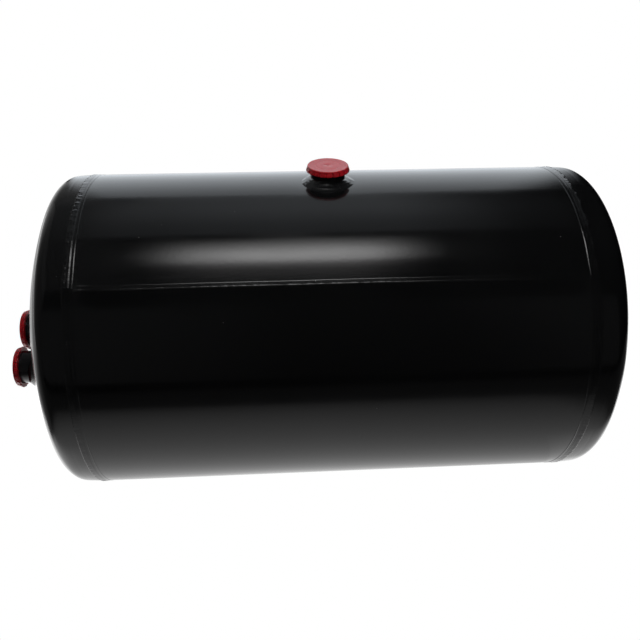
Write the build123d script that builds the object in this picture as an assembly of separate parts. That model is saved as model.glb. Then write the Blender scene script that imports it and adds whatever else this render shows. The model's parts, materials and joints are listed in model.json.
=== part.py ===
from build123d import *
import os
from math import atan2, cos, degrees, radians, sin, sqrt

# Air receiver tank for a vehicle's compressed-air brakes: a rolled steel shell with one
# long seam weld, two dished heads joggled into it and welded round, three threaded
# bosses with fillet welds, a push-on dust cap on each boss, and a blank rating plate.
#
# Millimetres. The origin is the tank's centre, on its axis. +X runs along the axis
# towards the plain head, so the head with two ports faces -X. +Z runs up through the
# shell's port, and the seam lies between +Z and -Y.

# Vessel
SHELL_OD = 310.0
WALL = 3.0
CROWN_R = 348.0
KNUCKLE_R = 20.0
KNUCKLE_X = 237.5
JOGGLE_X = 225.7
SHELL_END_X = 221.2
SPIGOT_END_X = 209.0

# Welds on the vessel
GIRTH_HALF_WIDTH = 4.8
GIRTH_HEIGHT = 1.3
SEAM_ANGLE = 45.6
SEAM_GAP = 2.4
SEAM_HALF_WIDTH = 2.4
SEAM_HEIGHT = 0.9
ROOT_HALF_WIDTH = 1.9
ROOT_HEIGHT = 0.6

# Ports: M22 x 1.5 bosses, drawn with the tapping bore
BOSS_R = 16.0
BORE_R = 10.25
MOUTH_CHAMFER = 1.5
INNER_CHAMFER = 1.0
EDGE_CHAMFER = 0.8
HOLE_CLEARANCE = 0.15
TOP_BOSS_X = 0.0
TOP_BOSS_FACE = 169.0
TOP_BOSS_LENGTH = 20.0
END_BOSS_FACE = 308.1
END_BOSS_LENGTH = 33.0
OFFSET_PORT_R = 43.0
OFFSET_PORT_ANGLE = 27.0

# Fillet welds round the bosses
FILLET_LEG = 8.0
FILLET_HEIGHT = 8.5
FILLET_SKIRT = 5.0
FILLET_BULGE = 0.7

# Dust caps
CAP_R = 19.9
CAP_TOP_R = 18.5
CAP_DISC = 1.8
CAP_SKIRT = 3.2
CAP_BEVEL = 1.2
CAP_BORE_CLEARANCE = 0.25
CAP_SEAT_GAP = 0.05
CAP_NOTCHES = 20
NOTCH_WIDTH = 1.7
NOTCH_DEPTH = 0.9
NOTCH_HEIGHT = 2.6
CAP_RING_R = 11.2
CAP_RING_WIDTH = 0.9
CAP_RING_DEPTH = 0.3

# Rating plate on the back of the shell
PLATE_X = 95.0
PLATE_ANGLE = -84.0
PLATE_LENGTH = 80.0
PLATE_HEIGHT = 45.0
PLATE_THICKNESS = 0.8
PLATE_CORNER = 4.0
TACK_R = 2.2
TACK_HEIGHT = 0.7
TACK_INSET = 5.0

# Worked out from the above
R = SHELL_OD / 2
INNER_R = R - WALL
CROWN_X = KNUCKLE_X - sqrt((CROWN_R - KNUCKLE_R) ** 2 - (R - KNUCKLE_R) ** 2)
HEAD_X = CROWN_X + CROWN_R
OFFSET_Y = -OFFSET_PORT_R * cos(radians(OFFSET_PORT_ANGLE))
OFFSET_Z = -OFFSET_PORT_R * sin(radians(OFFSET_PORT_ANGLE))
END_PORTS = {"centre": (0.0, 0.0), "offset": (OFFSET_Y, OFFSET_Z)}
LONG = 2 * HEAD_X + 100


def crown_surface_x(y, z):
    """Distance of the ported head's outer surface from the tank's centre."""
    return CROWN_X + sqrt(CROWN_R ** 2 - y ** 2 - z ** 2)


def head_arcs(wall):
    """The crown and knuckle arcs of a dished head, wall mm inside its outer surface."""
    crown = CROWN_R - wall
    knuckle = KNUCKLE_R - wall
    knuckle_y = R - KNUCKLE_R
    tangent = degrees(atan2(knuckle_y, KNUCKLE_X - CROWN_X))
    crown_points = [
        (CROWN_X + crown * cos(radians(a)), crown * sin(radians(a)))
        for a in (0, tangent / 2, tangent)
    ]
    knuckle_points = [
        (KNUCKLE_X + knuckle * cos(radians(a)), knuckle_y + knuckle * sin(radians(a)))
        for a in (tangent, (tangent + 90) / 2, 90)
    ]
    return ThreePointArc(*crown_points), ThreePointArc(*knuckle_points)


def dished_head():
    """A head at +X: crown, knuckle, straight flange, and a joggled spigot for the shell."""
    outer_crown, outer_knuckle = head_arcs(0)
    inner_crown, inner_knuckle = head_arcs(WALL)
    turn = WALL * (sqrt(2) - 1)
    rim = Polyline(
        (KNUCKLE_X, R),
        (JOGGLE_X, R),
        (JOGGLE_X - WALL, INNER_R),
        (SPIGOT_END_X, INNER_R),
        (SPIGOT_END_X, INNER_R - WALL),
        (JOGGLE_X - WALL + turn, INNER_R - WALL),
        (JOGGLE_X + turn, INNER_R),
        (KNUCKLE_X, INNER_R),
    )
    nose = Line((HEAD_X - WALL, 0), (HEAD_X, 0))
    profile = make_face([outer_crown, outer_knuckle, rim, inner_knuckle, inner_crown, nose])
    return revolve(profile, Axis.X, 360)


def head_envelope():
    """The solid space inside a head's outer surface, for trimming the fillet welds."""
    outer_crown, outer_knuckle = head_arcs(0)
    rest = Polyline((KNUCKLE_X, R), (0, R), (0, 0), (HEAD_X, 0))
    return revolve(make_face([outer_crown, outer_knuckle, rest]), Axis.X, 360)


def along_x(radius, length, x=0.0, y=0.0, z=0.0):
    """A solid cylinder along X, centred on the point given."""
    return Pos(x, y, z) * Rot(Y=90) * Cylinder(radius, length)


def plain_head():
    return dished_head()


def ported_head():
    head = mirror(dished_head(), Plane.YZ)
    for y, z in END_PORTS.values():
        head -= along_x(BOSS_R + HOLE_CLEARANCE, 2 * KNUCKLE_R + 60, -HEAD_X, y, z)
    return head


def shell():
    """The rolled shell, open along its seam and with the hole for the top boss."""
    tube = along_x(R, 2 * SHELL_END_X) - along_x(INNER_R, LONG)
    slit = Rot(X=SEAM_ANGLE) * Pos(0, 0, R) * Box(LONG, SEAM_GAP, 4 * WALL)
    hole = Pos(TOP_BOSS_X, 0, R) * Cylinder(BOSS_R + HOLE_CLEARANCE, 8 * WALL)
    return tube - slit - hole


def bead_section(half_width, base, crest):
    """A low rounded bead across a seam, in the YZ plane, from base to crest above the axis."""
    arc = ThreePointArc((-half_width, base), (0, crest), (half_width, base))
    return make_face([arc, Line((half_width, base), (-half_width, base))])


def seam_weld():
    """The weld metal in the seam: the gap's fill, a low outer crown and the root bead."""
    girth_edge = (SHELL_END_X + JOGGLE_X) / 2 - GIRTH_HALF_WIDTH
    fill = Pos(0, 0, R) * Box(2 * SHELL_END_X, SEAM_GAP, 4 * WALL)
    fill = (fill & along_x(R, LONG)) - along_x(INNER_R, LONG)
    drop = 0.3
    crown = extrude(
        Plane.YZ * bead_section(SEAM_HALF_WIDTH, R - drop, R + SEAM_HEIGHT), girth_edge, both=True
    )
    crown -= along_x(R, LONG)
    root = extrude(
        Plane.YZ * bead_section(ROOT_HALF_WIDTH, INNER_R + drop, INNER_R - ROOT_HEIGHT),
        SPIGOT_END_X - 1,
        both=True,
    )
    root &= along_x(INNER_R, LONG)
    return Rot(X=SEAM_ANGLE) * (fill + crown + root)


def girth_weld():
    """The round weld at +X: it fills the joggle's groove and stands just proud of it."""
    middle = (SHELL_END_X + JOGGLE_X) / 2
    crown = ThreePointArc(
        (middle + GIRTH_HALF_WIDTH, R),
        (middle, R + GIRTH_HEIGHT),
        (middle - GIRTH_HALF_WIDTH, R),
    )
    groove = Polyline(
        (middle - GIRTH_HALF_WIDTH, R),
        (SHELL_END_X, R),
        (SHELL_END_X, INNER_R),
        (JOGGLE_X - WALL, INNER_R),
        (JOGGLE_X, R),
        (middle + GIRTH_HALF_WIDTH, R),
    )
    return revolve(make_face([crown, groove]), Axis.X, 360)


def boss(length):
    """A threaded boss on +Z, its outer face at z = 0 and its inner end at -length."""
    profile = Polyline(
        (BORE_R, -length + INNER_CHAMFER),
        (BORE_R + INNER_CHAMFER, -length),
        (BOSS_R - EDGE_CHAMFER, -length),
        (BOSS_R, -length + EDGE_CHAMFER),
        (BOSS_R, -EDGE_CHAMFER),
        (BOSS_R - EDGE_CHAMFER, 0),
        (BORE_R + MOUTH_CHAMFER, 0),
        (BORE_R, -MOUTH_CHAMFER),
        close=True,
    )
    return revolve(Plane.XZ * make_face(profile), Axis.Z, 360)


def fillet_ring():
    """A convex fillet round a boss on +Z, with a skirt that reaches below z = 0."""
    toe = BOSS_R + FILLET_LEG
    slope = FILLET_HEIGHT / FILLET_LEG
    face = ThreePointArc(
        (BOSS_R, FILLET_HEIGHT),
        ((BOSS_R + toe) / 2 + FILLET_BULGE * slope, FILLET_HEIGHT / 2 + FILLET_BULGE),
        (toe, 0),
    )
    rest = Polyline(
        (toe, 0),
        (toe + FILLET_SKIRT, -FILLET_SKIRT * slope),
        (BOSS_R, -FILLET_SKIRT * slope),
        (BOSS_R, FILLET_HEIGHT),
    )
    return revolve(Plane.XZ * make_face([face, rest]), Axis.Z, 360)


def dust_cap():
    """A push-on cap on +Z, seated on a boss face at z = 0, with grip notches in its rim."""
    low = -CAP_SKIRT
    inner = BOSS_R + CAP_BORE_CLEARANCE
    profile = Polyline(
        (0, CAP_SEAT_GAP),
        (inner, CAP_SEAT_GAP),
        (inner, low),
        (CAP_R, low),
        (CAP_R - 0.3, CAP_DISC - CAP_BEVEL),
        (CAP_TOP_R, CAP_DISC),
        (0, CAP_DISC),
        close=True,
    )
    cap = revolve(Plane.XZ * make_face(profile), Axis.Z, 360)
    groove = Cylinder(CAP_RING_R + CAP_RING_WIDTH / 2, 2 * CAP_RING_DEPTH)
    groove -= Cylinder(CAP_RING_R - CAP_RING_WIDTH / 2, 2 * CAP_RING_DEPTH)
    cap -= Pos(0, 0, CAP_DISC) * groove
    notch = Pos(CAP_R, 0, low + NOTCH_HEIGHT / 2) * Box(
        2 * NOTCH_DEPTH, NOTCH_WIDTH, NOTCH_HEIGHT
    )
    for i in range(CAP_NOTCHES):
        cap -= Rot(Z=360 * i / CAP_NOTCHES) * notch
    return cap


def at_top(piece):
    """Place a piece made on +Z at the shell's port, z = 0 on the boss face."""
    return Pos(TOP_BOSS_X, 0, TOP_BOSS_FACE) * piece


def at_end(piece, y, z, x=END_BOSS_FACE):
    """Place a piece made on +Z on the ported head, pointing along -X."""
    return Pos(-x, y, z) * Rot(Y=-90) * piece


def top_fillet():
    """The shell boss's fillet, turned so that its start isn't on the shell's top line."""
    ring = Pos(TOP_BOSS_X, 0, R) * Rot(Z=30) * fillet_ring()
    return ring - along_x(R, LONG)


def end_fillets():
    """The two end fillets. Their beads run into each other, and part midway between."""
    head = mirror(head_envelope(), Plane.YZ)
    middle = Pos(-HEAD_X, OFFSET_Y / 2, OFFSET_Z / 2) * Rot(X=OFFSET_PORT_ANGLE)
    half = Pos(0, R / 2, 0) * Box(LONG, R, LONG)
    halves = {"centre": middle * half, "offset": middle * Rot(X=180) * half}
    fillets = {}
    for name, (y, z) in END_PORTS.items():
        ring = at_end(fillet_ring(), y, z, crown_surface_x(y, z))
        fillets[name] = (ring - head) & halves[name]
    return fillets


def on_plate(piece):
    """Place a piece made flat on z = 0 on the shell where the rating plate is."""
    return Rot(X=PLATE_ANGLE) * Pos(PLATE_X, 0, 0) * piece


def curved_skin(outline, inner, outer):
    """The part of a flat outline's column that lies between two radii of the shell."""
    column = extrude(outline, 2 * R)
    return (column & along_x(outer, LONG)) - along_x(inner, LONG)


def rating_plate():
    outline = RectangleRounded(PLATE_LENGTH, PLATE_HEIGHT, PLATE_CORNER)
    return Rot(X=PLATE_ANGLE) * curved_skin(Pos(PLATE_X, 0, 0) * outline, R, R + PLATE_THICKNESS)


def plate_tacks():
    """Four spot tacks that hold the rating plate by its corners."""
    face = R + PLATE_THICKNESS
    tacks = []
    for i in (-1, 1):
        for j in (-1, 1):
            y = j * (PLATE_HEIGHT / 2 - TACK_INSET)
            level = sqrt(face ** 2 - y ** 2)
            dome_r = (TACK_R ** 2 + TACK_HEIGHT ** 2) / (2 * TACK_HEIGHT)
            centre = Pos(i * (PLATE_LENGTH / 2 - TACK_INSET), y, level + TACK_HEIGHT - dome_r)
            tacks.append(on_plate(centre * Sphere(dome_r)) - along_x(face, LONG))
    return Compound(tacks)


def one_piece(name, shape):
    """Write one node, and print how many solids it has and their volume."""
    export_step(shape, f"parts/{name}.step")
    print(name, len(shape.solids()), "solid", round(shape.volume), "mm3")


def main():
    os.makedirs("parts", exist_ok=True)
    one_piece("shell", shell())
    one_piece("seam_weld", seam_weld())
    one_piece("plain_head", plain_head())
    one_piece("ported_head", ported_head())
    one_piece("girth_weld_right", girth_weld())
    one_piece("girth_weld_left", mirror(girth_weld(), Plane.YZ))
    one_piece("boss_top", at_top(boss(TOP_BOSS_LENGTH)))
    one_piece("boss_weld_top", top_fillet())
    one_piece("dust_cap_top", at_top(dust_cap()))
    fillets = end_fillets()
    for name, (y, z) in END_PORTS.items():
        one_piece(f"boss_end_{name}", at_end(boss(END_BOSS_LENGTH), y, z))
        one_piece(f"boss_weld_end_{name}", fillets[name])
        one_piece(f"dust_cap_end_{name}", at_end(dust_cap(), y, z))
    one_piece("rating_plate", rating_plate())
    one_piece("plate_tacks", plate_tacks())
    print("head height", round(HEAD_X - KNUCKLE_X, 2), "overall half length", round(HEAD_X, 2))


main()
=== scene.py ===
import json
from math import atan2, ceil, cos, pi, radians, sin, sqrt

import bmesh
import bpy
import numpy as np
from mathutils import Matrix, Vector


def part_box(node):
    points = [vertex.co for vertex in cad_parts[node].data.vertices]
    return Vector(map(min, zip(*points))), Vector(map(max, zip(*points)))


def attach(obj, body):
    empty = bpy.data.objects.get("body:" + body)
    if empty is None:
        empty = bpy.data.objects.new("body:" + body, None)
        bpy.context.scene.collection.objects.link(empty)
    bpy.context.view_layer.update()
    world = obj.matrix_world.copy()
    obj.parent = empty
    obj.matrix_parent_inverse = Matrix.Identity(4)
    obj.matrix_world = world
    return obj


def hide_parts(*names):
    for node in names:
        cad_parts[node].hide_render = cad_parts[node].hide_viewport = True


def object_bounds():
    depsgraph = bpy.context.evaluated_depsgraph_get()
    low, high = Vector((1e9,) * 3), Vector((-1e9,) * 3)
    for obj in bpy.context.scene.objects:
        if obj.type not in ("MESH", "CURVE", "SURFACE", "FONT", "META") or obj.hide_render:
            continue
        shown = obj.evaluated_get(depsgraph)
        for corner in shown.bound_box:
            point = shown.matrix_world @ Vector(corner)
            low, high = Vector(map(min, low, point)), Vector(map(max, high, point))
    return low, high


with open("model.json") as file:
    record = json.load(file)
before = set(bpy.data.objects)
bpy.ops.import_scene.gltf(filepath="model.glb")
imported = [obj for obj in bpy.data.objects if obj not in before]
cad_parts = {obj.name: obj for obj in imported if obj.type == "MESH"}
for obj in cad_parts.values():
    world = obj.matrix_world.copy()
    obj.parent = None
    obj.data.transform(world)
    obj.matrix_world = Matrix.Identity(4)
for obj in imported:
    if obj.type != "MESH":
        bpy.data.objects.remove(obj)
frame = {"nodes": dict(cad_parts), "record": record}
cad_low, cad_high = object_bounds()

# A welded air receiver tank in black gloss paint, with red dust caps on its three ports.
# Metres, in the CAD frame: X along the tank, Z up through the shell's port, -Y towards
# the camera. An angle round the tank is measured from +Z towards -Y.

TAU = 2 * pi
MM = 0.001


# ---------------------------------------------------------------- camera

IMAGE_SIDE = 640
FOCAL_LENGTH = 719.3 / IMAGE_SIDE
SENSOR_MM = 36.0
CAMERA_DISTANCE = 0.7562
CAMERA_ELEVATION = radians(32.23)
CAMERA_X = -0.0486
CAMERA_YAW = radians(3.76)
CAMERA_PITCH = radians(32.09)
CAMERA_ROLL = radians(0.31)


def make_camera():
    """The camera that took the photo, fitted to the tank's outline, welds and ports."""
    data = bpy.data.cameras.new("camera")
    data.sensor_width = SENSOR_MM
    data.lens = SENSOR_MM * FOCAL_LENGTH
    data.clip_end = 50.0
    camera = bpy.data.objects.new("camera", data)
    bpy.context.scene.collection.objects.link(camera)
    place = Matrix.Translation(
        (
            CAMERA_X,
            -CAMERA_DISTANCE * cos(CAMERA_ELEVATION),
            CAMERA_DISTANCE * sin(CAMERA_ELEVATION),
        )
    )
    turn = Matrix.Rotation(-CAMERA_YAW, 4, "Z") @ Matrix.Rotation(pi / 2 - CAMERA_PITCH, 4, "X")
    camera.matrix_world = place @ turn @ Matrix.Rotation(CAMERA_ROLL, 4, "Z")
    bpy.context.scene.camera = camera


make_camera()


# ---------------------------------------------------------------- sizes from the frame


def node_size(node):
    """The size of a CAD node's box."""
    low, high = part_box(node)
    return high - low


def node_middle(node):
    """The middle of a CAD node's box."""
    low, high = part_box(node)
    return (low + high) / 2


SHELL_R = node_size("shell").z / 2
SHELL_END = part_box("shell")[1].x
HEAD_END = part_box("plain_head")[1].x
SPIGOT_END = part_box("plain_head")[0].x
GIRTH_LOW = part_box("girth_weld_right")[0].x
GIRTH_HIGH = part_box("girth_weld_right")[1].x
BOSS_R = node_size("boss_top").x / 2
CAP_OVERSIZE = 0.4 * MM  # the photo's caps are a little wider than the CAD's
CAP_R = node_size("dust_cap_top").x / 2 + CAP_OVERSIZE
CAP_HEIGHT = node_size("dust_cap_top").z
SEAM = atan2(-node_middle("seam_weld").y, node_middle("seam_weld").z)
MOUNTS = {m["name"]: m for m in frame["record"]["mounts"]}
BORE_R = MOUNTS["port_top"]["dims"]["r_mm"] * MM

# Sizes that the frame's boxes don't give
WALL = 3.0 * MM
CROWN_R = 348.0 * MM
KNUCKLE_R = 20.0 * MM
SEAM_GAP = 2.4 * MM
HOLE_CLEARANCE = 0.15 * MM
CROWN_X = HEAD_END - CROWN_R
KNUCKLE_X = CROWN_X + sqrt((CROWN_R - KNUCKLE_R) ** 2 - (SHELL_R - KNUCKLE_R) ** 2)
GIRTH_MIDDLE = (GIRTH_LOW + GIRTH_HIGH) / 2
GIRTH_HALF = (GIRTH_HIGH - GIRTH_LOW) / 2
JOGGLE_X = 2 * GIRTH_MIDDLE - SHELL_END
INNER_R = SHELL_R - WALL


# ---------------------------------------------------------------- mesh building


def new_object(name, mesh, material, body):
    """An object in the scene with its material, riding on a body."""
    piece = bpy.data.objects.new(name, mesh)
    bpy.context.scene.collection.objects.link(piece)
    mesh.materials.clear()
    mesh.materials.append(material)
    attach(piece, body)
    return piece


def finish_mesh(mesh, sharp_angle):
    """Merge doubled points, point the faces outwards, and shade smoothly but at edges."""
    bm = bmesh.new()
    bm.from_mesh(mesh)
    bmesh.ops.remove_doubles(bm, verts=bm.verts, dist=2e-6)
    bmesh.ops.dissolve_degenerate(bm, edges=bm.edges, dist=1e-7)
    bmesh.ops.recalc_face_normals(bm, faces=bm.faces)
    bm.to_mesh(mesh)
    bm.free()
    mesh.polygons.foreach_set("use_smooth", [True] * len(mesh.polygons))
    mesh.set_sharp_from_angle(angle=radians(sharp_angle))
    mesh.update()
    return mesh


def grid_mesh(name, points, close_u, sharp_angle=40.0):
    """A closed mesh from a grid of points [u, v], where v runs round a closed section.
    The section either comes back to its start in u, or is capped at both ends."""
    count_u, count_v = points.shape[:2]
    index = np.arange(count_u * count_v).reshape(count_u, count_v)
    rows = np.vstack([index, index[:1]]) if close_u else index
    rows = np.hstack([rows, rows[:, :1]])
    quads = np.stack([rows[:-1, :-1], rows[1:, :-1], rows[1:, 1:], rows[:-1, 1:]], axis=-1)
    faces = quads.reshape(-1, 4).tolist()
    if not close_u:
        faces.append(index[0].tolist())
        faces.append(index[-1][::-1].tolist())
    mesh = bpy.data.meshes.new(name)
    mesh.from_pydata(points.reshape(-1, 3).tolist(), [], faces)
    return finish_mesh(mesh, sharp_angle)


def around_x(angles, x, r):
    """Grid points from arrays of x and radius, indexed [angle, place in the section]."""
    sine = np.sin(angles)[:, None]
    cosine = np.cos(angles)[:, None]
    x = np.broadcast_to(x, (len(angles), np.shape(x)[-1]))
    r = np.broadcast_to(r, x.shape)
    return np.stack([x, -r * sine, r * cosine], axis=-1)


def around_z(angles, r, z):
    """Grid points on +Z from arrays of radius and height, indexed [angle, place]."""
    sine = np.sin(angles)[:, None]
    cosine = np.cos(angles)[:, None]
    r = np.broadcast_to(r, (len(angles), np.shape(r)[-1]))
    z = np.broadcast_to(z, r.shape)
    return np.stack([r * cosine, r * sine, z], axis=-1)


def full_turn(count):
    """Evenly spaced angles all the way round."""
    return TAU * np.arange(count) / count


def arc_points(centre, radius, start, end, count):
    """Points (x, r) along an arc, angles in radians from +x."""
    angles = np.linspace(start, end, count)
    return np.stack([centre[0] + radius * np.cos(angles), centre[1] + radius * np.sin(angles)], 1)


def subdivided(points, longest):
    """A polyline's points with extra ones, so that no step is longer than longest."""
    out = [points[0]]
    for a, b in zip(points[:-1], points[1:]):
        steps = max(1, ceil(np.linalg.norm(np.subtract(b, a)) / longest))
        out += [np.add(a, np.subtract(b, a) * k / steps) for k in range(1, steps + 1)]
    return np.array(out)


def resampled(section, count):
    """A section's (across, level) points, with extra ones evenly between them."""
    places = np.array(section)
    across = np.union1d(np.linspace(places[0, 0], places[-1, 0], count), places[:, 0])
    level = np.interp(across, places[:, 0], places[:, 1])
    return across, level


def ease(t):
    """A smooth step from 0 to 1."""
    return t * t * (3 - 2 * t)


def lattice_noise(u, v, cells_u, cells_v, seed):
    """Smooth noise from -1 to 1 at places u, v from 0 to 1, on a seeded lattice. It
    repeats in u, so it meets itself round a ring."""
    knots = np.random.default_rng(seed).uniform(-1, 1, (cells_u, cells_v + 2))
    pu = np.asarray(u) * cells_u
    pv = np.clip(np.asarray(v), 0, 1) * cells_v
    iu = np.floor(pu).astype(int)
    iv = np.floor(pv).astype(int)
    fu = ease(pu - iu)
    fv = ease(pv - iv)
    low = knots[iu % cells_u, iv] * (1 - fu) + knots[(iu + 1) % cells_u, iv] * fu
    high = knots[iu % cells_u, iv + 1] * (1 - fu) + knots[(iu + 1) % cells_u, iv + 1] * fu
    return low * (1 - fv) + high * fv


def ring_noise(angles, pitch, seed, radius=SHELL_R):
    """Smooth noise round a ring, one lattice cell to each pitch of arc length."""
    cells = max(3, round(TAU * radius / pitch))
    return lattice_noise(angles / TAU, 0.0, cells, 1, seed)


def line_noise(along, pitch, seed):
    """Smooth noise along a line, one lattice cell to each pitch."""
    length = along[-1] - along[0]
    cells = max(3, round(length / pitch))
    return lattice_noise((along - along[0]) / length, 0.0, cells, 1, seed)


def scales(along, across, pitch, curl):
    """Fish-scale ripple of a weld bead: 0 to 1, each scale curved back at its edges."""
    phase = along / pitch + curl * across ** 2
    phase = phase - np.floor(phase)
    return np.where(phase < 0.8, phase / 0.8, (1 - phase) / 0.2)


# ---------------------------------------------------------------- materials


def plug(tree, value, socket):
    """Link a node's output to a socket, or set the socket to a plain value."""
    if isinstance(value, bpy.types.NodeSocket):
        tree.links.new(value, socket)
    else:
        socket.default_value = value


def combined(tree, operation, a, b):
    """The result of a sum on two values, each a number or a node's output."""
    node = tree.nodes.new("ShaderNodeMath")
    node.operation = operation
    plug(tree, a, node.inputs[0])
    plug(tree, b, node.inputs[1])
    return node.outputs["Value"]


class Nodes:
    """A short way to add nodes to a new material and join them."""

    def __init__(self, name):
        self.material = bpy.data.materials.new(name)
        self.material.use_nodes = True
        self.tree = self.material.node_tree
        self.shader = self.tree.nodes["Principled BSDF"]
        self.place = self.add("ShaderNodeTexCoord").outputs["Object"]

    def add(self, kind, **inputs):
        node = self.tree.nodes.new(kind)
        for key, value in inputs.items():
            plug(self.tree, value, node.inputs[key.replace("_", " ")])
        return node

    def noise(self, scale, detail=2.0, roughness=0.5, vector=None):
        return self.add(
            "ShaderNodeTexNoise",
            Vector=vector or self.place,
            Scale=scale,
            Detail=detail,
            Roughness=roughness,
        ).outputs["Fac"]

    def stretched(self, scale):
        node = self.add("ShaderNodeMapping", Vector=self.place)
        node.inputs["Scale"].default_value = scale
        return node.outputs["Vector"]

    def ranged(self, value, low, high, to_low=0.0, to_high=1.0):
        node = self.add("ShaderNodeMapRange", Value=value)
        node.inputs["From Min"].default_value = low
        node.inputs["From Max"].default_value = high
        node.inputs["To Min"].default_value = to_low
        node.inputs["To Max"].default_value = to_high
        return node.outputs["Result"]

    def math(self, operation, a, b):
        return combined(self.tree, operation, a, b)

    def blend(self, factor, a, b):
        node = self.tree.nodes.new("ShaderNodeMix")
        node.data_type = "RGBA"
        for key, value in (("Factor_Float", factor), ("A_Color", a), ("B_Color", b)):
            plug(self.tree, value, next(s for s in node.inputs if s.identifier == key))
        return next(s for s in node.outputs if s.identifier == "Result_Color")

    def bump(self, height, strength, distance):
        node = self.add("ShaderNodeBump", Height=height, Strength=strength, Distance=distance)
        return node.outputs["Normal"]

    def drive(self, **sockets):
        for key, value in sockets.items():
            self.tree.links.new(value, self.shader.inputs[key.replace("_", " ")])

    def set(self, **sockets):
        for key, value in sockets.items():
            self.shader.inputs[key.replace("_", " ")].default_value = value


def dust(n, scale, size, seed):
    """Scattered specks: 1 inside a speck, 0 elsewhere. Most cells hold none."""
    shifted = n.add("ShaderNodeVectorMath")
    shifted.operation = "ADD"
    n.tree.links.new(n.place, shifted.inputs[0])
    shifted.inputs[1].default_value = (seed, 2 * seed, 3 * seed)
    cell = n.add("ShaderNodeTexVoronoi", Vector=shifted.outputs["Vector"], Scale=scale)
    near = n.ranged(cell.outputs["Distance"], size, size * 0.6)
    pick = n.add("ShaderNodeSeparateColor", Color=cell.outputs["Color"])
    chosen = n.math("GREATER_THAN", pick.outputs["Red"], 0.86)
    return n.math("MULTIPLY", near, chosen)


def tank_paint(name, roughness, peel, grey):
    """Black gloss enamel: orange peel, soft smudges, fine wipe marks and dust specks.
    peel is the strength of the orange peel, and grey is the mean colour."""
    n = Nodes(name)
    clouds = n.noise(14.0, 3.0)
    specks = n.math("MAXIMUM", dust(n, 60.0, 0.035, 3.0), dust(n, 95.0, 0.03, 7.0))
    dark = [share * grey for share in (0.82, 0.85, 0.92)]
    light = [share * grey for share in (1.18, 1.21, 1.30)]
    base = n.blend(clouds, (*dark, 1), (*light, 1))
    n.drive(Base_Color=n.blend(n.math("MULTIPLY", specks, 0.5), base, (0.30, 0.30, 0.29, 1)))
    wipes = n.noise(1.0, 4.0, 0.6, vector=n.stretched((18.0, 160.0, 160.0)))
    cloudy = n.ranged(clouds, 0.3, 0.7, -0.02, 0.03)
    smudge = n.math("ADD", cloudy, n.ranged(wipes, 0.45, 0.75, 0.0, 0.03))
    smeared = n.math("ADD", smudge, roughness)
    n.drive(Roughness=n.math("ADD", smeared, n.math("MULTIPLY", specks, 0.3)))
    peel_height = n.math("ADD", n.noise(260.0, 2.0), n.math("MULTIPLY", n.noise(900.0, 1.0), 0.25))
    height = n.math("ADD", peel_height, n.math("MULTIPLY", specks, 0.8))
    n.drive(Normal=n.bump(height, peel, 0.0002))
    n.set(IOR=1.5)
    return n.material


def cap_plastic():
    """Red moulded polyethylene: slightly cloudy colour, fine matt grain, small scuffs."""
    n = Nodes("cap_red_plastic")
    clouds = n.noise(120.0, 3.0)
    scuffs = n.noise(1.0, 5.0, 0.7, vector=n.stretched((700.0, 2400.0, 900.0)))
    worn = n.ranged(scuffs, 0.62, 0.74)
    base = n.blend(clouds, (0.76, 0.012, 0.024, 1), (0.84, 0.018, 0.034, 1))
    n.drive(Base_Color=n.blend(n.math("MULTIPLY", worn, 0.25), base, (0.88, 0.12, 0.14, 1)))
    n.drive(Roughness=n.ranged(n.noise(500.0, 3.0), 0.3, 0.7, 0.30, 0.42))
    n.drive(Normal=n.bump(n.noise(2600.0, 2.0), 0.25, 0.0001))
    n.set(IOR=1.5, Subsurface_Weight=0.12, Subsurface_Scale=0.002)
    return n.material


def plate_metal():
    """Blank plate of brushed aluminium, with its brushing along the tank."""
    n = Nodes("plate_brushed_aluminium")
    grain = n.noise(1.0, 4.0, 0.6, vector=n.stretched((40.0, 2600.0, 2600.0)))
    cloud = n.noise(30.0, 3.0)
    n.drive(Base_Color=n.blend(grain, (0.50, 0.51, 0.53, 1), (0.68, 0.69, 0.70, 1)))
    brushed = n.ranged(grain, 0.3, 0.7, 0.24, 0.40)
    n.drive(Roughness=n.math("ADD", brushed, n.ranged(cloud, 0.4, 0.7, 0, 0.08)))
    n.drive(Normal=n.bump(grain, 0.3, 0.0001))
    n.set(Metallic=1.0)
    return n.material


PAINT = tank_paint("tank_paint_smooth", roughness=0.13, peel=0.10, grey=0.0067)
WELD_PAINT = tank_paint("tank_paint_on_weld", roughness=0.16, peel=0.30, grey=0.0067)
PORT_PAINT = tank_paint("tank_paint_on_ports", roughness=0.18, peel=0.25, grey=0.0140)
CAP_RED = cap_plastic()
PLATE = plate_metal()


# ---------------------------------------------------------------- shell and heads

# Each side of the seam the sheet stays flat for this far. Rolled flats would make a full
# peak at the seam, and this share of that peak is there.
FLAT_HALF = 12.0 * MM
PEAK_SHARE = 0.75
# How far the shell and the round welds stand out at the seam's ends, and over what angle
SEAM_RISE = 1.25 * MM
RISE_WIDTH = radians(8.6)
# How far the top boss's weld draws the shell in, and how far from the boss it starts
BOSS_PULL = 0.30 * MM
TOP_FILLET_LEG = 8.0 * MM


def seam_rise(angle):
    """How much the surface stands out where the long seam meets a round weld."""
    off = np.abs((angle - SEAM + pi) % TAU - pi)
    return SEAM_RISE * np.clip(1 - off / RISE_WIDTH, 0, 1) ** 2


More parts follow.
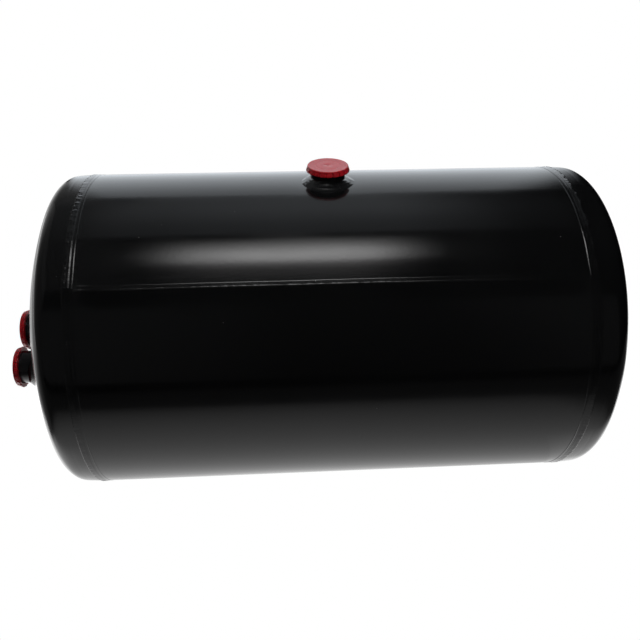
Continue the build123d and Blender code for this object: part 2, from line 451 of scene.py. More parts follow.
def shell_radius(angle, x):
    """The shell's outer radius. The sheet stays flat for a little each side of the seam,
    it is drawn in slightly by the round welds and the boss, and it is faintly wavy."""
    off = np.abs((angle - SEAM + pi) % TAU - pi)
    flat = FLAT_HALF / SHELL_R
    peak = np.where(off < flat, SHELL_R / np.cos(flat - np.minimum(off, flat)) - SHELL_R, 0.0)
    to_end = SHELL_END - np.abs(x)
    draw_in = 0.12 * MM * np.exp(-((to_end / (9 * MM)) ** 2))
    wave = 0.05 * MM * lattice_noise(angle / TAU, (x + SHELL_END) / (2 * SHELL_END), 9, 5, 1)
    rise = seam_rise(angle) * np.exp(-((to_end / (12 * MM)) ** 2))
    beyond = np.hypot(x, SHELL_R * ((angle + pi) % TAU - pi)) - BOSS_R - TOP_FILLET_LEG
    pull = BOSS_PULL * np.exp(-np.maximum(beyond, 0) / (12 * MM))
    return SHELL_R - 0.05 * MM + PEAK_SHARE * peak + rise - draw_in - pull + wave


def shell_mesh(count=720, rows=180):
    """The rolled sheet, open along the seam, with its rows closest together at its ends."""
    half_gap = SEAM_GAP / 2 / SHELL_R
    angles = np.linspace(SEAM + half_gap, SEAM + TAU - half_gap, count)
    spread = np.linspace(-1, 1, rows)
    outer_x = SHELL_END * (0.35 * np.sin(spread * pi / 2) + 0.65 * spread)
    inner_x = np.linspace(SHELL_END, -SHELL_END, 12)
    outer_r = shell_radius(angles[:, None], outer_x[None, :])
    inner_r = np.full((count, len(inner_x)), INNER_R)
    points = around_x(angles, np.concatenate([outer_x, inner_x]), np.hstack([outer_r, inner_r]))
    return grid_mesh("shell_skin", points, False)


# The slope of the head's flange at its round weld, and how far into the knuckle it blends
FLANGE_SLOPE = 0.05
BLEND_LENGTH = 9.5 * MM


def flange_drop(x):
    """How far the head's surface lies inside its flange and knuckle: it starts to turn in
    right at the round weld, and meets the knuckle's arc a little further on."""
    span = KNUCKLE_X + BLEND_LENGTH - JOGGLE_X
    fall = KNUCKLE_R - sqrt(KNUCKLE_R ** 2 - BLEND_LENGTH ** 2)
    steepest = BLEND_LENGTH / sqrt(KNUCKLE_R ** 2 - BLEND_LENGTH ** 2) - FLANGE_SLOPE
    power = steepest / (fall / span - FLANGE_SLOPE)
    along = np.clip((x - JOGGLE_X) / span, 0, 1)
    drop = span * (FLANGE_SLOPE * along + steepest * along ** power / power)
    arc = np.clip(x - KNUCKLE_X, 0, BLEND_LENGTH)
    return drop - (KNUCKLE_R - np.sqrt(KNUCKLE_R ** 2 - arc ** 2))


def head_section(wall, rows):
    """Crown and knuckle from the axis to the flange, wall inside the outer surface."""
    knuckle_y = SHELL_R - KNUCKLE_R
    tangent = atan2(knuckle_y, KNUCKLE_X - CROWN_X)
    crown = arc_points((CROWN_X, 0.0), CROWN_R - wall, 0.0, tangent, rows)
    knuckle = arc_points((KNUCKLE_X, knuckle_y), KNUCKLE_R - wall, tangent, pi / 2, rows // 2)
    return np.vstack([crown, knuckle[1:]])


def head_mesh(name, seed, count=480):
    """A dished head at +X with its joggled spigot. It has faint pressing waves, a forming
    line where the knuckle starts, and the pull of the round weld on its flange."""
    turn = WALL * (sqrt(2) - 1)
    rim = [
        (KNUCKLE_X, SHELL_R),
        (JOGGLE_X, SHELL_R),
        (JOGGLE_X - WALL, INNER_R),
        (SPIGOT_END, INNER_R),
        (SPIGOT_END, INNER_R - WALL),
        (JOGGLE_X - WALL + turn, INNER_R - WALL),
        (JOGGLE_X + turn, INNER_R),
        (KNUCKLE_X, INNER_R),
    ]
    outer = head_section(0.0, 70)
    inner = head_section(WALL, 24)
    section = np.vstack([outer, subdivided(rim, 1.2 * MM)[1:-1], inner[::-1]])
    x = section[:, 0]
    r = section[:, 1]
    angles = full_turn(count)
    outside = np.arange(len(section)) < len(outer) + ceil((KNUCKLE_X - JOGGLE_X) / (1.2 * MM))
    wave = lattice_noise(angles[:, None] / TAU, r[None, :] / SHELL_R, 7, 4, seed)
    dish = (0.07 * wave - 0.08) * MM * np.clip(r / (30 * MM), 0, 1) * (x > KNUCKLE_X)
    line_at = (x - KNUCKLE_X + 1.5 * MM) / (0.8 * MM)
    line = 0.05 * MM * np.exp(-(line_at ** 2)) * (1 + 0.5 * ring_noise(angles, 40 * MM, seed)[:, None])
    inward = (flange_drop(x) + line) * outside
    return grid_mesh(name, around_x(angles, x + dish, r - inward), True)


CUTTER_LENGTH = 60.0 * MM


def bore_holes(piece, centres, axis, radius):
    """Cut round holes along X or Z through a piece."""
    for centre in centres:
        bpy.ops.mesh.primitive_cylinder_add(
            vertices=96, radius=radius, depth=CUTTER_LENGTH, location=centre
        )
        cutter = bpy.context.active_object
        if axis == "X":
            cutter.rotation_euler = (0, pi / 2, 0)
        modifier = piece.modifiers.new("hole", "BOOLEAN")
        modifier.operation = "DIFFERENCE"
        modifier.solver = "MANIFOLD"
        modifier.object = cutter
        bpy.context.view_layer.update()
        evaluated = piece.evaluated_get(bpy.context.evaluated_depsgraph_get())
        cut = bpy.data.meshes.new_from_object(evaluated)
        piece.modifiers.clear()
        piece.data = cut
        bpy.data.objects.remove(cutter)
    piece.data.polygons.foreach_set("use_smooth", [True] * len(piece.data.polygons))
    piece.data.set_sharp_from_angle(angle=radians(40))


def mirrored(mesh, sharp_angle=40.0):
    """The mesh's mirror image in the YZ plane."""
    mesh.transform(Matrix.Scale(-1, 4, (1, 0, 0)))
    return finish_mesh(mesh, sharp_angle)


def make_vessel():
    """The shell and both heads, with the holes for their bosses."""
    shell = new_object("shell_skin", shell_mesh(), PAINT, "tank")
    bore_holes(shell, [Vector(MOUNTS["port_top"]["pos_m"])], "Z", BOSS_R + HOLE_CLEARANCE)
    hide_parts("shell")
    right_mesh = head_mesh("plain_head_skin", 4)
    right = new_object("plain_head_skin", right_mesh, PAINT, "tank")
    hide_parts("plain_head")
    left_mesh = mirrored(head_mesh("ported_head_skin", 5))
    left = new_object("ported_head_skin", left_mesh, PAINT, "tank")
    places = [MOUNTS[name]["pos_m"] for name in ("port_end_centre", "port_end_offset")]
    bore_holes(left, [(-HEAD_END, p[1], p[2]) for p in places], "X", BOSS_R + HOLE_CLEARANCE)
    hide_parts("ported_head")


make_vessel()


# ---------------------------------------------------------------- welds on the vessel

# The round bead's section: (share of the half width, height in mm), from a narrow toe
# ridge on the shell, over a slow flank to the crown, to a steep edge on the head.
GIRTH_SECTION = [
    (-1.02, -0.30),
    (-1.00, 0.00),
    (-0.97, 0.04),
    (-0.82, 0.17),
    (-0.78, 0.12),
    (-0.70, 0.10),
    (-0.38, 0.12),
    (-0.12, 0.38),
    (0.05, 0.41),
    (0.45, 0.50),
    (0.70, 0.52),
    (0.80, 0.42),
    (0.86, 0.16),
    (0.92, -0.10),
    (1.00, -0.40),
]


# The round welds are smoother towards the camera: where, how wide, and by how much
CALM_ANGLE = radians(96)
CALM_WIDTH = radians(32)
CALM_SHARE = 0.88
GIRTH_HIGHEST_MM = 1.25


def stop_mark(angles, across, stop_angle):
    """The change in a round weld's height, in mm, where the welder stopped and started
    again: a low hump, with a crater just past it."""
    off = ((angles - stop_angle + pi) % TAU - pi) * SHELL_R
    hump = 0.18 * np.exp(-((off / (2.6 * MM)) ** 2))[:, None]
    beside = ((across - 0.1) * GIRTH_HALF / (1.9 * MM))[None, :]
    crater = np.exp(-(((off[:, None] - 3.4 * MM) / (1.25 * MM)) ** 2) - beside ** 2)
    return hump - crater


def girth_weld_mesh(name, toe_rise, flank_rise, ragged, stop_angle, seed, count=2700):
    """A round weld at +X: rippled crown, ragged edge on the head side, and a stop mark. The
    rises multiply the section's height at its toe and along its flank, and ragged is the
    strength of the crown's blotches."""
    angles = full_turn(count)
    across, level = resampled(GIRTH_SECTION, 33)
    rise = np.interp(across, [-0.80, -0.70, 0.0, 0.5], [toe_rise, flank_rise, flank_rise, 1])
    level = level * np.where(level > 0, rise, 1)
    crown = np.clip((across + 0.35) / 0.4, 0, 1) * (level > 0)
    edge = np.clip((across - 0.35) / 0.3, 0, 1)
    toe = np.clip((-across - 0.6) / 0.2, 0, 1)
    def noise(pitch, step):
        return ring_noise(angles, pitch, seed + step)

    wander = 0.20 * noise(16 * MM, 0) + 0.06 * noise(3 * MM, 5)
    tall = 1 + 0.10 * noise(22 * MM, 1) + 0.06 * noise(4 * MM, 2)
    calm = 1 - CALM_SHARE * np.exp(-(((angles - CALM_ANGLE) / CALM_WIDTH) ** 2))
    blotches = 0.06 * ragged * noise(2.2 * MM, 7) * (1 + noise(30 * MM, 8)) * calm
    rough = np.clip(0.75 + 0.6 * noise(45 * MM, 3), 0.30, 1.0) * calm
    lumps = 0.5 * noise(2.4 * MM, 4) + 0.3 * noise(1.1 * MM, 6)
    ripple = 1 - scales(angles[:, None] * SHELL_R, across[None, :], 1.9 * MM, 0.9)
    h = level[None, :] * tall[:, None] + crown[None, :] * stop_mark(angles, across, stop_angle)
    h = h - 0.05 * ripple * crown[None, :] + blotches[:, None] * crown[None, :]
    h = h + (0.45 * rough * lumps)[:, None] * edge[None, :] * (level > 0)[None, :]
    h = np.minimum(h, GIRTH_HIGHEST_MM)
    x = GIRTH_MIDDLE + GIRTH_HALF * across[None, :] + wander[:, None] * MM * toe[None, :]
    x = x + (0.8 * rough * lumps)[:, None] * MM * edge[None, :]
    r = SHELL_R - 0.15 * MM + seam_rise(angles)[:, None] + h * MM
    groove_x = np.array([JOGGLE_X, JOGGLE_X - WALL, SHELL_END, SHELL_END])
    groove_r = np.array([SHELL_R - 0.7 * MM, INNER_R, INNER_R, SHELL_R - 0.7 * MM])
    x = np.hstack([x, np.tile(groove_x, (count, 1))])
    r = np.hstack([r, np.tile(groove_r, (count, 1))])
    return grid_mesh(name, around_x(angles, x, r), True, 60.0)


# The seam bead's section: (mm across, downhill positive; mm high). It has a narrow toe
# ridge on its upper side, a flat middle, and a crest near its lower edge.
SEAM_SECTION = [
    (-2.40, -0.30),
    (-2.25, 0.00),
    (-1.70, 0.10),
    (-1.55, 0.09),
    (-0.60, 0.15),
    (0.50, 0.22),
    (1.00, 0.26),
    (1.60, 0.37),
    (1.90, 0.32),
    (2.20, 0.05),
    (2.40, -0.30),
]


def seam_weld_mesh(count=2200):
    """The long seam: a low rippled bead, its fill through the gap, and the root inside."""
    along = np.linspace(-GIRTH_LOW, GIRTH_LOW, count)
    across, level = resampled(SEAM_SECTION, 25)
    height = 1 + 0.14 * line_noise(along, 9 * MM, 21) + 0.10 * line_noise(along, 2.5 * MM, 24)
    lumps = 0.05 * line_noise(along, 3.0 * MM, 25) + 0.03 * line_noise(along, 1.2 * MM, 26)
    crest = np.clip((across - 0.4) / 1.2, 0, 1) * (level > 0)
    wander = 0.20 * line_noise(along, 35 * MM, 22)
    dome = np.clip((level - 0.1) / 0.25, 0, 1)
    ripple = 1 - scales(along[:, None], across[None, :] / 2.4, 1.3 * MM, 0.7)
    h = level[None, :] * height[:, None] - 0.04 * ripple * dome[None, :]
    h = h + lumps[:, None] * crest[None, :]
    base = shell_radius(np.array(SEAM), along)[:, None]
    w = across[None, :] + wander[:, None]
    r = base - 0.10 * MM + np.where(level < 0, level, h) * MM
    half_gap = SEAM_GAP / MM / 2
    root_w = np.array([half_gap, half_gap, 1.9, 0.0, -1.9, -half_gap, -half_gap])
    root_r = SHELL_R + np.array([-0.8, -3.0, -3.0, -3.6, -3.0, -3.0, -0.8]) * MM
    w = np.hstack([w, np.tile(root_w, (count, 1))])
    r = np.hstack([r, np.tile(root_r, (count, 1))])
    angle = SEAM + w * MM / SHELL_R
    x = np.broadcast_to(along[:, None], w.shape)
    points = np.stack([x, -r * np.sin(angle), r * np.cos(angle)], axis=-1)
    return grid_mesh("seam_bead", points, False, 60.0)


def make_vessel_welds():
    """The two round welds and the long seam."""
    right_mesh = girth_weld_mesh(
        "girth_weld_right_bead",
        toe_rise=1.9,
        flank_rise=0.65,
        ragged=1.0,
        stop_angle=radians(64),
        seed=11,
    )
    right = new_object("girth_weld_right_bead", right_mesh, WELD_PAINT, "tank")
    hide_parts("girth_weld_right")
    left_mesh = girth_weld_mesh(
        "girth_weld_left_bead",
        toe_rise=1.45,
        flank_rise=1.0,
        ragged=2.2,
        stop_angle=radians(61),
        seed=41,
    )
    left_mesh = mirrored(left_mesh, 60.0)
    left = new_object("girth_weld_left_bead", left_mesh, WELD_PAINT, "tank")
    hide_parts("girth_weld_left")
    seam = new_object("seam_bead", seam_weld_mesh(), WELD_PAINT, "tank")
    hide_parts("seam_weld")


make_vessel_welds()


# ---------------------------------------------------------------- ports

THREAD_PITCH = 1.5 * MM
THREAD_DEPTH = 0.75 * MM
# Each fillet's height and leg in mm, where it crosses its port's first axis and where it
# crosses the second, then how much of each is added towards one side and taken off the
# opposite one, and that side's angle in degrees from the first axis
FILLETS = {
    "top": ((3.8, 8.9), (8.0, 6.9), (0.2, 0.0), 180),
    "end_centre": ((7.5, 7.7), (7.5, 7.7), (1.5, 0.9), 180),
    "end_offset": ((11.0, 9.0), (11.0, 9.0), (6.5, 6.5), 225),
}
# How deep each fillet's outer edge is sunk below the vessel's surface
TOP_SUNK = 0.60 * MM
END_SUNK = 0.25 * MM
CAP_SKIRT = 3.2 * MM
END_PORTS = ("end_centre", "end_offset")


def port_frame(name):
    """The matrix that takes +Z at the origin to a port's axis, z = 0 on its boss face."""
    place = MOUNTS["port_" + name]["pos_m"]
    low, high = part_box("boss_" + name)
    if name == "top":
        return Matrix.Translation((place[0], place[1], high.z))
    return Matrix.Translation((low.x, place[1], place[2])) @ Matrix.Rotation(-pi / 2, 4, "Y")


def boss_mesh(name, length, count=144):
    """A turned boss on +Z with its real internal thread, its outer face at z = 0."""
    mouth = 1.5 * MM
    inner = 1.0 * MM
    edge = 0.8 * MM
    outside = [
        (BORE_R + mouth, 0.0),
        (BOSS_R - edge, 0.0),
        (BOSS_R, -edge),
        (BOSS_R, -length + edge),
        (BOSS_R - edge, -length),
        (BORE_R + inner, -length),
    ]
    outside = subdivided(outside, 3 * MM)
    depths = np.linspace(-length + inner, -mouth, int(length / THREAD_PITCH * 10))
    angles = full_turn(count)
    phase = depths[None, :] / THREAD_PITCH - angles[:, None] / TAU
    tooth = np.abs((phase - np.floor(phase)) * 2 - 1)
    fade = np.clip(np.minimum(-mouth - depths, depths + length - inner) / (1 * MM), 0, 1)
    bore = BORE_R + np.clip(tooth * 1.35 - 0.2, 0, 1) * THREAD_DEPTH * fade[None, :]
    r = np.hstack([np.tile(outside[:, 0], (count, 1)), bore])
    z = np.concatenate([outside[:, 1], depths])
    return grid_mesh(name, around_z(angles, r, z), True, 35.0)


def cap_mesh(name, notches=20, per_notch=24):
    """A moulded dust cap on +Z, seated at z = 0: a bevelled rim with grip notches, a ring
    and a gate mark on the disc, and an open skirt below."""
    low = -CAP_SKIRT
    top = low + CAP_HEIGHT
    inner = BOSS_R + 0.25 * MM
    bevel = 1.2 * MM
    taper = 1.1 * MM
    taper_start = 0.7 * MM
    disc_r = 18.3 * MM
    notch_top = 3.0 * MM
    notch_half = 0.95 * MM
    notch_depth = 0.95 * MM
    notch_soft = 0.35 * MM
    heights = [0.0, 0.2, 0.4, 0.9, 1.4, 1.9, 2.3, 2.6, 2.8, 3.0, 3.2, 3.5]
    bevel_heights = [3.8, 3.95, 4.1, 4.3, 4.5, 4.7, 4.85, 4.95, 5.0]
    side = np.array(heights + bevel_heights) * MM
    t = np.clip((side - (CAP_HEIGHT - bevel)) / bevel, 0, 1)
    tapered = (side - taper_start) / (CAP_HEIGHT - bevel - taper_start)
    side_r = CAP_R - taper * np.clip(tapered, 0, 1)
    side_r = side_r - (CAP_R - taper - disc_r) * (1 - np.sqrt(1 - 0.96 * t ** 2))
    disc = np.array(
        [
            (18.1, 0.00),
            (17.5, -0.02),
            (16.4, -0.12),
            (12.3, -0.12),
            (11.8, -0.12),
            (11.6, -0.20),
            (10.8, -0.20),
            (10.6, -0.12),
            (10.1, -0.12),
            (6.0, -0.10),
            (1.9, -0.08),
            (1.7, -0.16),
            (0.9, -0.16),
            (0.7, -0.06),
            (0.35, -0.05),
            (0.0, -0.05),
        ]
    )
    under = np.array(
        [
            (0.0, 0.05),
            (8.0, 0.05),
            (inner / MM - 0.4, 0.05),
            (inner / MM, -0.35),
            (inner / MM, low / MM + 0.5),
            (inner / MM + 0.3, low / MM),
            (CAP_R / MM - 1.2, low / MM),
        ]
    )
    count = notches * per_notch
    angles = full_turn(count)
    across = ((np.arange(count) % per_notch) / per_notch - 0.5) * TAU * CAP_R / notches
    slot = ease(np.clip((notch_half - np.abs(across)) / notch_soft, 0, 1)) * notch_depth
    fade = np.clip((notch_top + 0.3 * MM - side) / (0.5 * MM), 0, 1)
    foot = 0.12 * MM * np.clip(1 - side / (0.25 * MM), 0, 1)
    grip_r = side_r[None, :] - slot[:, None] * fade[None, :] - foot[None, :]
    flat_r = np.concatenate([disc[:, 0], under[:, 0]]) * MM
    r = np.hstack([grip_r, np.tile(flat_r, (count, 1))])
    z = np.concatenate([low + side, top - 0.02 * MM + disc[:, 1] * MM, under[:, 1] * MM])
    return grid_mesh(name, around_z(angles, r, z), True, 50.0)


def surface_level(name, r, angles):
    """How far the vessel's surface lies from a boss's face, at r from its axis."""
    place = port_frame(name)
    u = r * np.cos(angles)
    v = r * np.sin(angles)
    if name == "top":
        return np.sqrt(SHELL_R ** 2 - (place[1][3] + v) ** 2) - place[2][3]
    y = place[1][3] + v
    z = place[2][3] + u
    return CROWN_X + np.sqrt(CROWN_R ** 2 - y ** 2 - z ** 2) + place[0][3]


def midway(name, angles):
    """How far an end port's bead reaches before it meets its neighbour's."""
    here = Vector(MOUNTS["port_" + name]["pos_m"])
    other = END_PORTS[1 - END_PORTS.index(name)]
    there = Vector(MOUNTS["port_" + other]["pos_m"])
    towards = port_frame(name).to_3x3().inverted() @ (there - here)
    lean = np.cos(angles - atan2(towards.y, towards.x))
    return np.where(lean > 0.2, towards.length / 2 / np.maximum(lean, 0.2), 1.0)


def fillet_bulge(angles, across, leg, noise):
    """How far a fillet stands out of its straight section: three layers, lumps, ripple."""
    patches = 0.6 + noise(7 * MM, 6)
    fine = (0.10 * patches * noise(1.5 * MM, 5))[:, None]
    fine = fine * np.clip(3 * across - 1, 0, 1)[None, :]
    broken = np.clip(0.8 + 0.7 * noise(3.5 * MM, 8), 0.2, 1.3)
    layers = 0.17 * broken[:, None] * np.abs(np.sin(3 * pi * across))[None, :]
    upper = scales(angles[:, None] * BOSS_R, across[None, :] * 2 - 0.5, 2.1 * MM, 0.8)
    lower = scales(angles[:, None] * (BOSS_R + leg), across[None, :] * 2 - 1.5, 2.4 * MM, 0.8)
    ripple = 1 - np.where(across[None, :] < 0.5, upper, lower)
    return (layers + fine - 0.10 * ripple * np.sin(pi * across)[None, :]) * MM


def fillet_mesh(name, seed, count=900):
    """The weld round a boss, in the port's frame. Its section is straight, from its height
    on the boss to its leg on the vessel, with the bulge on top."""
    angles = full_turn(count)
    across = np.linspace(0, 1, 31)

    def noise(pitch, step):
        return ring_noise(angles, pitch, seed + step, BOSS_R)

    wide = 1 + 0.05 * noise(12 * MM, 0) + 0.02 * noise(3 * MM, 1)
    tall = 1 + 0.10 * noise(14 * MM, 2)
    first, second, lean = np.array(FILLETS[name][:3]) * MM
    share = np.sin(angles) ** 2
    towards = np.cos(angles - radians(FILLETS[name][3]))
    rise, leg = first[:, None] + (second - first)[:, None] * share + lean[:, None] * towards
    reach = BOSS_R + wide * leg
    if name in END_PORTS:
        reach = np.minimum(reach, midway(name, angles))
    near = surface_level(name, BOSS_R, angles) + rise * tall
    far = surface_level(name, reach, angles) - (TOP_SUNK if name == "top" else END_SUNK)
    r = BOSS_R + (reach - BOSS_R)[:, None] * across[None, :]
    z = far[:, None] + (near - far)[:, None] * (1 - across[None, :])
    span = np.hypot(reach - BOSS_R, near - far)
    out_r = ((near - far) / span)[:, None]
    out_z = ((reach - BOSS_R) / span)[:, None]
    bulge = fillet_bulge(angles, across, first[1], noise)
    r = np.maximum(r + out_r * bulge, BOSS_R - 0.02 * MM)
    z = z + out_z * bulge
    r = np.hstack([np.full((count, 1), BOSS_R - 0.02 * MM), r])
    z = np.hstack([(far - 1.2 * MM)[:, None], z])
    return grid_mesh(name, around_z(angles, r, z), True, 60.0)


def make_port(name, seed):
    """One port: threaded boss, fillet weld and dust cap."""
    place = port_frame(name)
    size = node_size("boss_" + name)
    boss = boss_mesh(f"boss_{name}_threaded", size.z if name == "top" else size.x)
    boss.transform(place)
    piece = new_object(f"boss_{name}_threaded", boss, PORT_PAINT, "tank")
    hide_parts("boss_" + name)
    fillet = fillet_mesh(name, seed)
    fillet.transform(place)
    piece = new_object(f"boss_weld_{name}_bead", fillet, PORT_PAINT, "tank")
    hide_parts("boss_weld_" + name)
    cap = cap_mesh(f"dust_cap_{name}_moulded")
    cap.transform(place)
    piece = new_object(f"dust_cap_{name}_moulded", cap, CAP_RED, "cap_" + name)
    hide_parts("dust_cap_" + name)


for port_name, port_seed in (("top", 51), ("end_centre", 61), ("end_offset", 71)):
    make_port(port_name, port_seed)


# ---------------------------------------------------------------- rating plate


def finish_plate():
    """The CAD plate and its tacks keep their shape and get their metal."""
    for node in ("rating_plate", "plate_tacks"):
        piece = frame["nodes"][node]
        piece.data.materials.clear()
        piece.data.materials.append(PLATE)


finish_plate()


# ---------------------------------------------------------------- studio
# The room is white to the camera. The gloss paint mirrors only a few soft panels, which
# the camera doesn't see: a lit table, a backdrop, a softbox overhead and dim walls. Each
# panel is given by its brightness at places along its two directions, in metres.

FLOOR_Z = cad_low.z


def ramp(tree, value, stops):
    """A brightness along a panel, from stops of (metres, share of full brightness)."""
    start = stops[0][0]
    length = stops[-1][0] - start
    node = tree.nodes.new("ShaderNodeValToRGB")
    node.color_ramp.interpolation = "LINEAR"
    points = node.color_ramp.elements
    while len(points) < len(stops):
        points.new(1.0)
    for point, (place, level) in zip(points, stops):
        point.position = (place - start) / length
        point.color = (level, level, level, 1)
    tree.links.new(value, node.inputs["Fac"])
    return node.outputs["Color"]


def glow(name, strength, first, second, tint):
    """Light added to what is behind it, shaded along a panel's two directions."""
    material = bpy.data.materials.new(name)
    material.use_nodes = True
    tree = material.node_tree
    tree.nodes.clear()
    split = tree.nodes.new("ShaderNodeSeparateXYZ")
    tree.links.new(tree.nodes.new("ShaderNodeTexCoord").outputs["UV"], split.inputs[0])
    along_first = ramp(tree, split.outputs["X"], first)
    along_second = ramp(tree, split.outputs["Y"], second)
    shade = combined(tree, "MULTIPLY", along_first, along_second)
    light = tree.nodes.new("ShaderNodeEmission")
    light.inputs["Color"].default_value = (*tint, 1)
    plug(tree, combined(tree, "MULTIPLY", shade, strength), light.inputs["Strength"])
    both = tree.nodes.new("ShaderNodeAddShader")
    tree.links.new(light.outputs[0], both.inputs[0])
    tree.links.new(tree.nodes.new("ShaderNodeBsdfTransparent").outputs[0], both.inputs[1])
    out = tree.nodes.new("ShaderNodeOutputMaterial")
    tree.links.new(both.outputs[0], out.inputs["Surface"])
    return material


def stage_object(name, mesh, material, camera, glossy, diffuse):
    """A piece of the studio, seen by the camera, by reflections or by diffuse light."""
    mesh.materials.append(material)
    piece = bpy.data.objects.new(name, mesh)
    bpy.context.scene.collection.objects.link(piece)
    piece.visible_camera = camera
    piece.visible_glossy = glossy
    piece.visible_diffuse = diffuse
    piece.visible_shadow = False
    piece.visible_transmission = False


NEUTRAL = (1, 1, 1)
COOL = (0.94, 1, 1.06)


def panel(name, faces, at, strength, first, second, diffuse=False, glossy=True, tint=NEUTRAL):
    """A panel across the axis it faces, seen in reflections. first and second are its
    brightness stops along the other two axes, in the order X, Y, Z."""
    a0, a1 = first[0][0], first[-1][0]
    b0, b1 = second[0][0], second[-1][0]
    corners = ((a0, b0), (a1, b0), (a1, b1), (a0, b1))
    place = "XYZ".index(faces)
    points = [(*corner[:place], at, *corner[place:]) for corner in corners]
    mesh = bpy.data.meshes.new(name)
    mesh.from_pydata(points, [], [(0, 1, 2, 3)])
    mesh.uv_layers.new(name="panel")
    for corner, uv in zip(mesh.uv_layers[0].data, ((0, 0), (1, 0), (1, 1), (0, 1))):
        corner.uv = uv
    material = glow(name, strength, first, second, tint)
    stage_object(name, mesh, material, False, glossy, diffuse)


table_patches = []


def table(name, strength, first, second):
    """A lit patch of the table. Patches overlap, so each lies a little below the last."""
    table_patches.append(name)
    panel(name, "Z", FLOOR_Z - 0.5 * MM * len(table_patches), strength, first, second)


def make_room():
    """The white floor and surroundings, which only the camera sees."""
    white = bpy.data.materials.new("stage_white")
    white.use_nodes = True
    tree = white.node_tree
    tree.nodes.clear()
    light = tree.nodes.new("ShaderNodeEmission")
    out = tree.nodes.new("ShaderNodeOutputMaterial")
    tree.links.new(light.outputs[0], out.inputs["Surface"])
    floor = bpy.data.meshes.new("floor")
    bm = bmesh.new()
    bmesh.ops.create_grid(bm, x_segments=1, y_segments=1, size=12.0)
    bmesh.ops.translate(bm, verts=bm.verts, vec=(0, 0, FLOOR_Z))
    bm.to_mesh(floor)
    bm.free()
    stage_object("floor", floor, white, True, False, False)
    sky = bpy.data.meshes.new("surroundings")
    bm = bmesh.new()
    bmesh.ops.create_icosphere(bm, subdivisions=3, radius=15.0)
    bm.to_mesh(sky)
    bm.free()
    stage_object("surroundings", sky, white, True, False, False)


def make_world():
    """A very dim white world, for diffuse light only."""
    world = bpy.data.worlds.new("studio")
    bpy.context.scene.world = world
    world.use_nodes = True
    back = world.node_tree.nodes["Background"]
    back.inputs["Color"].default_value = (1, 1, 1, 1)
    back.inputs["Strength"].default_value = 0.02
    world.cycles_visibility.glossy = False


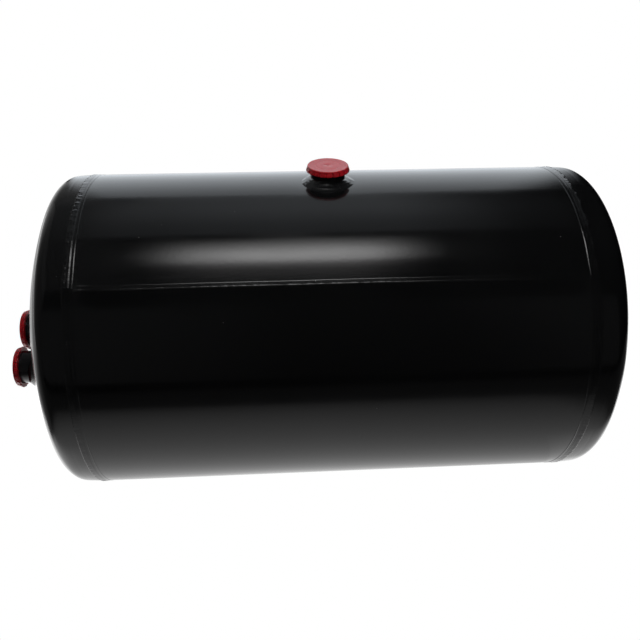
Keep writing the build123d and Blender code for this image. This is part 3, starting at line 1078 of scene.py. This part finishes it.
def make_studio():
    """The room, its panels overhead, behind, on the table and at the sides."""
    scene = bpy.context.scene
    scene.view_settings.view_transform = "Standard"
    scene.view_settings.look = "None"
    make_world()
    make_room()
    panel(
        "softbox", "Z", 1.2, 6.1,
        [(-0.39, 0), (-0.345, 0.085), (-0.298, 0.27), (-0.251, 0.56), (-0.204, 0.68), (-0.11, 0.90),
         (0.08, 1), (0.174, 0.78), (0.221, 0.48), (0.268, 0.17), (0.315, 0.04), (0.36, 0)],
        [(-0.66, 0), (-0.53, 0.04), (-0.398, 0.17), (-0.335, 0.90), (-0.27, 1), (-0.205, 0.93),
         (-0.143, 0.52), (-0.013, 0.05), (0.03, 0)],
        diffuse=True,
    )
    panel(
        "canopy", "Z", 1.25, 0.46,
        [(-1.0, 0.06), (-0.6, 0.12), (-0.53, 0.25), (-0.43, 0.61), (-0.2, 0.92), (0, 1), (0.27, 1),
         (0.355, 0.72), (0.46, 0.43), (0.56, 0.16), (0.8, 0.02)],
        [(0.06, 0), (0.12, 0.55), (0.27, 0.61), (0.44, 0.85), (0.65, 1), (0.94, 0.85), (1.3, 0.8)],
        tint=COOL,
    )
    panel("ceiling_left", "Z", 1.6, 0.05, [(-2.0, 1), (-0.6, 1), (-0.4, 0)], [(-1.0, 1), (1.3, 1)])
    panel(
        "backdrop", "Y", 1.3, 1.35,
        [(-0.70, 0), (-0.60, 1), (0.66, 1), (0.74, 0.75), (0.80, 0.40), (0.86, 0.12), (0.95, 0)],
        [(FLOOR_Z, 0.9), (0.1, 1), (0.27, 1), (0.73, 0.92), (1.14, 0.65), (1.3, 0.60)],
        tint=COOL,
    )
    panel(
        "backdrop_left", "Y", 1.302, 0.42,
        [(-2.4, 0.6), (-1.2, 0.8), (-0.70, 1), (-0.60, 0)],
        [(0.15, 1), (0.35, 0.9), (0.6, 0.45), (1.0, 0.35), (1.6, 0.2)],
    )
    panel(
        "backdrop_low", "Y", 1.304, 0.8,
        [(-2.2, 1), (-0.75, 1)],
        [(FLOOR_Z, 1), (0.03, 1), (0.07, 0.5), (0.18, 0.3), (0.2, 0)],
    )
    table(
        "table_near", 0.95,
        [(-0.44, 0), (-0.41, 0.10), (-0.37, 0.52), (-0.32, 0.84), (-0.2, 0.92), (0, 0.96), (0.2, 0.80),
         (0.30, 0.72), (0.34, 0.40), (0.38, 0.08), (0.42, 0.02), (0.46, 0)],
        [(-0.50, 0), (-0.45, 0.20), (-0.38, 0.39), (-0.29, 0.59), (-0.19, 0.80), (-0.08, 1), (0.05, 1)],
    )
    table(
        "table_left", 0.9,
        [(-1.6, 0.8), (-0.45, 1), (-0.41, 0)],
        [(-0.30, 0), (-0.15, 0.12), (-0.05, 0.28), (0.05, 0.75)],
    )
    table(
        "table_far", 1.0,
        [(-1.6, 0.6), (-0.5, 0.6), (-0.2, 0.9), (0, 1), (0.77, 1), (0.83, 0)],
        [(0.05, 1), (0.5, 1), (1.3, 0.9)],
    )
    table(
        "table_spot_left", 1.0,
        [(-0.46, 0), (-0.42, 0.8), (-0.35, 1), (-0.30, 0.4), (-0.25, 0)],
        [(-0.04, 0), (0.01, 0.7), (0.05, 1), (0.15, 1), (0.30, 0)],
    )
    table(
        "table_spot_right", 1.5,
        [(0.28, 0), (0.36, 1), (0.55, 0.8), (0.70, 0)],
        [(-0.05, 0), (0, 0.7), (0.05, 1), (0.20, 1), (0.35, 0)],
    )
    table(
        "table_patch_left", 1.75,
        [(-0.58, 0.05), (-0.49, 0.15), (-0.45, 0.85), (-0.41, 1), (-0.37, 0.78), (-0.33, 0.42),
         (-0.29, 0.15), (-0.25, 0)],
        [(-0.125, 0), (-0.105, 0.3), (-0.09, 0.9), (-0.07, 1), (-0.02, 0.75), (0.05, 0.5), (0.12, 0)],
    )
    table(
        "table_corner_left", 0.48,
        [(-0.41, 0), (-0.385, 1), (-0.34, 1), (-0.30, 0.85), (-0.265, 0)],
        [(-0.22, 0), (-0.17, 1), (-0.12, 0.85), (-0.07, 0)],
    )
    table(
        "table_patch_right", 2.8,
        [(0.24, 0.05), (0.30, 0.25), (0.34, 0.4), (0.38, 0.65), (0.42, 0.8), (0.46, 1), (0.50, 0.85),
         (0.56, 0.5), (0.62, 0)],
        [(-0.115, 0), (-0.10, 0.2), (-0.09, 0.9), (-0.07, 1), (0, 0.9), (0.08, 0)],
    )
    table(
        "table_corner_right", 0.75,
        [(0.24, 0.1), (0.27, 0.35), (0.30, 0.75), (0.34, 1), (0.38, 0.8), (0.42, 0)],
        [(-0.21, 0), (-0.17, 0.65), (-0.12, 1), (-0.07, 0)],
    )
    table("table_faint", 0.07, [(-1.2, 1), (1.2, 1)], [(-0.9, 0.4), (-0.3, 0.8), (0.05, 1)])
    panel(
        "wall_left", "X", -1.2, 0.07,
        [(-0.9, 0.7), (0, 1), (0.5, 1.6), (1.2, 2.6)],
        [(FLOOR_Z, 1), (0.3, 1), (1.6, 0.9)],
    )
    panel(
        "wall_left_low", "X", -1.202, 1.0,
        [(0.0, 0), (0.3, 0.6), (0.6, 1), (1.3, 1)],
        [(FLOOR_Z, 1), (0.0, 0.7), (0.1, 0.15), (0.3, 0)],
    )
    panel(
        "wall_front", "Y", -1.6, 0.07,
        [(-2.0, 1), (-0.6, 0.8), (0, 0.2), (0.5, 0.2), (0.9, 0.7), (1.4, 0.7), (2.0, 0.2)],
        [(FLOOR_Z, 1), (0.6, 1), (1.6, 0.8)],
    )
    panel(
        "fill_above", "Z", 1.1, 0.80,
        [(-0.30, 0.3), (0, 0.9), (0.3, 0.7), (1.0, 0.6)],
        [(-1.6, 1), (0.7, 0.8)],
        diffuse=True, glossy=False,
    )


make_studio()
